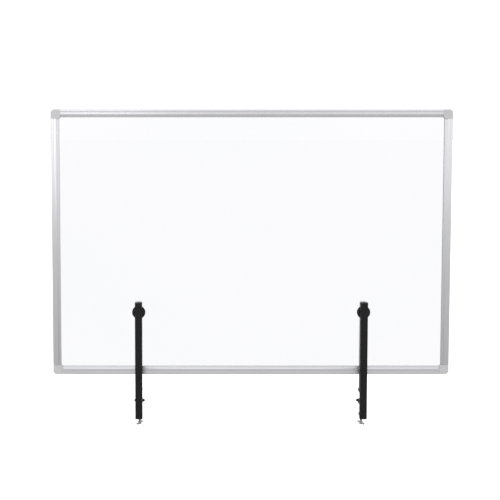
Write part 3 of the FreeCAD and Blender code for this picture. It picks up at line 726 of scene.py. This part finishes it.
def knob_nut(side):
    """A hexagon nut with turned corners and a countersunk bore."""
    node = side + "_knob_nut"
    low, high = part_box(node)
    thick, sink, columns, slope = high.y - low.y, 0.4 * MM, 72, math.tan(math.radians(30))
    corners = []
    for end, way in ((0, 1), (thick, -1)):
        row = ring(NUT_FLATS, end, columns, hexagon)
        for point in row:
            point.z += way * (math.hypot(point.x, point.y) - NUT_FACE) * slope
        corners.append(row)
    inner = [ring(NUT_HOLE, sink, columns), ring(NUT_HOLE + sink, 0, columns), ring(NUT_FACE, 0, columns)]
    outer = [ring(NUT_FACE, thick, columns), ring(NUT_HOLE + sink, thick, columns),
             ring(NUT_HOLE, thick - sink, columns), ring(NUT_HOLE, sink, columns)]
    bm = bmesh.new()
    loft(bm, inner + corners + outer)
    pointed(bm, (middle(node).x, low.y, middle(node).z), (0, 1, 0))
    return finish(bm, node + "_chamfered", node, math.radians(20))


def press_rubber(side):
    """The thin rubber face behind the glass, with ring grooves."""
    node = side + "_pressure_pad_rubber"
    low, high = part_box(node)
    radius, thick = (high.x - low.x) / 2, high.y - low.y
    bm = bmesh.new()
    profile = [(0, 0), (radius, 0)] + rounded(radius, thick, 0.35 * MM, True)
    turned(bm, profile + grooves(radius - 1.1 * MM, thick, 3, 2.0 * MM) + [(0, thick)], 64)
    pointed(bm, (middle(node).x, high.y, middle(node).z), (0, -1, 0))
    return finish(bm, node + "_grooved", node)


for side in SIDES:
    knob(side)
    knob_screw(side)
    knob_nut(side)
    press_rubber(side)


# ---- floor, light and camera ----

# The object hangs on a desk edge, so the floor lies below the clamp screws' lowest travel.
low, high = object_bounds()
drop = max(-j["range_m"][0] for j in frame["joints"] if j["name"].endswith("_clamp_travel"))
floor_height = low.z - drop - 2 * MM

bpy.ops.mesh.primitive_circle_add(vertices=96, radius=60, fill_type="NGON", location=(0, 0, floor_height))
floor = bpy.context.object
floor.name = "studio_floor"
floor.data.materials.append(studio_floor())
floor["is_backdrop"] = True


def soft_box(name, place, aim, size, power):
    data = bpy.data.lights.new(name, "AREA")
    data.shape = "RECTANGLE"
    data.size, data.size_y = size
    data.energy = power
    lamp = bpy.data.objects.new(name, data)
    bpy.context.collection.objects.link(lamp)
    lamp.location = place
    lamp.rotation_mode = "QUATERNION"
    lamp.rotation_quaternion = (Vector(aim) - Vector(place)).to_track_quat("-Z", "Y")
    lamp.visible_camera = False
    lamp.visible_transmission = False


soft_box("key", (-0.95, -1.3, 1.1), (-0.2, 0, 0.5), (0.8, 0.9), 2.9)
soft_box("fill", (1.0, -1.3, 1.1), (0.2, 0, 0.5), (0.8, 0.9), 0.7)


def studio_world():
    """A bright even room: white where it is seen, softly graded where it lights the object."""
    world = bpy.data.worlds.new("studio")
    bpy.context.scene.world = world
    world.use_nodes = True
    tree = world.node_tree
    tree.nodes.clear()
    where = tree.nodes.new("ShaderNodeTexCoord")
    axes = tree.nodes.new("ShaderNodeSeparateXYZ")
    tree.links.new(where.outputs["Generated"], axes.inputs["Vector"])

    def graded(axis, low, high, low_value, high_value):
        made = tree.nodes.new("ShaderNodeMapRange")
        made.interpolation_type = "SMOOTHSTEP"
        made.inputs["From Min"].default_value = low
        made.inputs["From Max"].default_value = high
        made.inputs["To Min"].default_value = low_value
        made.inputs["To Max"].default_value = high_value
        tree.links.new(axes.outputs[axis], made.inputs["Value"])
        return made.outputs["Result"]

    strength = tree.nodes.new("ShaderNodeMath")
    strength.operation = "MULTIPLY"
    tree.links.new(graded("Y", -0.5, 0.6, 0.95, 1.0), strength.inputs[0])
    tree.links.new(graded("Z", -0.05, 0.6, 1.27, 1.65), strength.inputs[1])
    room = tree.nodes.new("ShaderNodeBackground")
    room.inputs["Color"].default_value = (1, 1, 1, 1)
    tree.links.new(strength.outputs["Value"], room.inputs["Strength"])
    white = tree.nodes.new("ShaderNodeBackground")
    white.inputs["Color"].default_value = (1, 1, 1, 1)
    white.inputs["Strength"].default_value = SEEN_WHITE
    rays = tree.nodes.new("ShaderNodeLightPath")
    seen = tree.nodes.new("ShaderNodeMath")
    seen.operation = "MAXIMUM"
    tree.links.new(rays.outputs["Is Camera Ray"], seen.inputs[0])
    tree.links.new(rays.outputs["Is Transmission Ray"], seen.inputs[1])
    mix = tree.nodes.new("ShaderNodeMixShader")
    tree.links.new(seen.outputs["Value"], mix.inputs["Fac"])
    tree.links.new(room.outputs["Background"], mix.inputs[1])
    tree.links.new(white.outputs["Background"], mix.inputs[2])
    output = tree.nodes.new("ShaderNodeOutputWorld")
    tree.links.new(mix.outputs["Shader"], output.inputs["Surface"])


studio_world()

SENSOR = 36  # millimetres, as the lens
LENS = 96.13
SHIFT = 0.0991
EYE = (-0.115, -3.0, 0.611)
DOWNWARD = 5.35  # degrees

camera_data = bpy.data.cameras.new("camera")
camera = bpy.data.objects.new("camera", camera_data)
bpy.context.collection.objects.link(camera)
bpy.context.scene.camera = camera
camera_data.sensor_width = SENSOR
camera_data.lens = LENS
camera_data.shift_x = SHIFT
camera.location = EYE
camera.rotation_euler = (math.radians(90 - DOWNWARD), 0, 0)

bpy.context.scene.view_settings.view_transform = "Standard"

low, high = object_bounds()
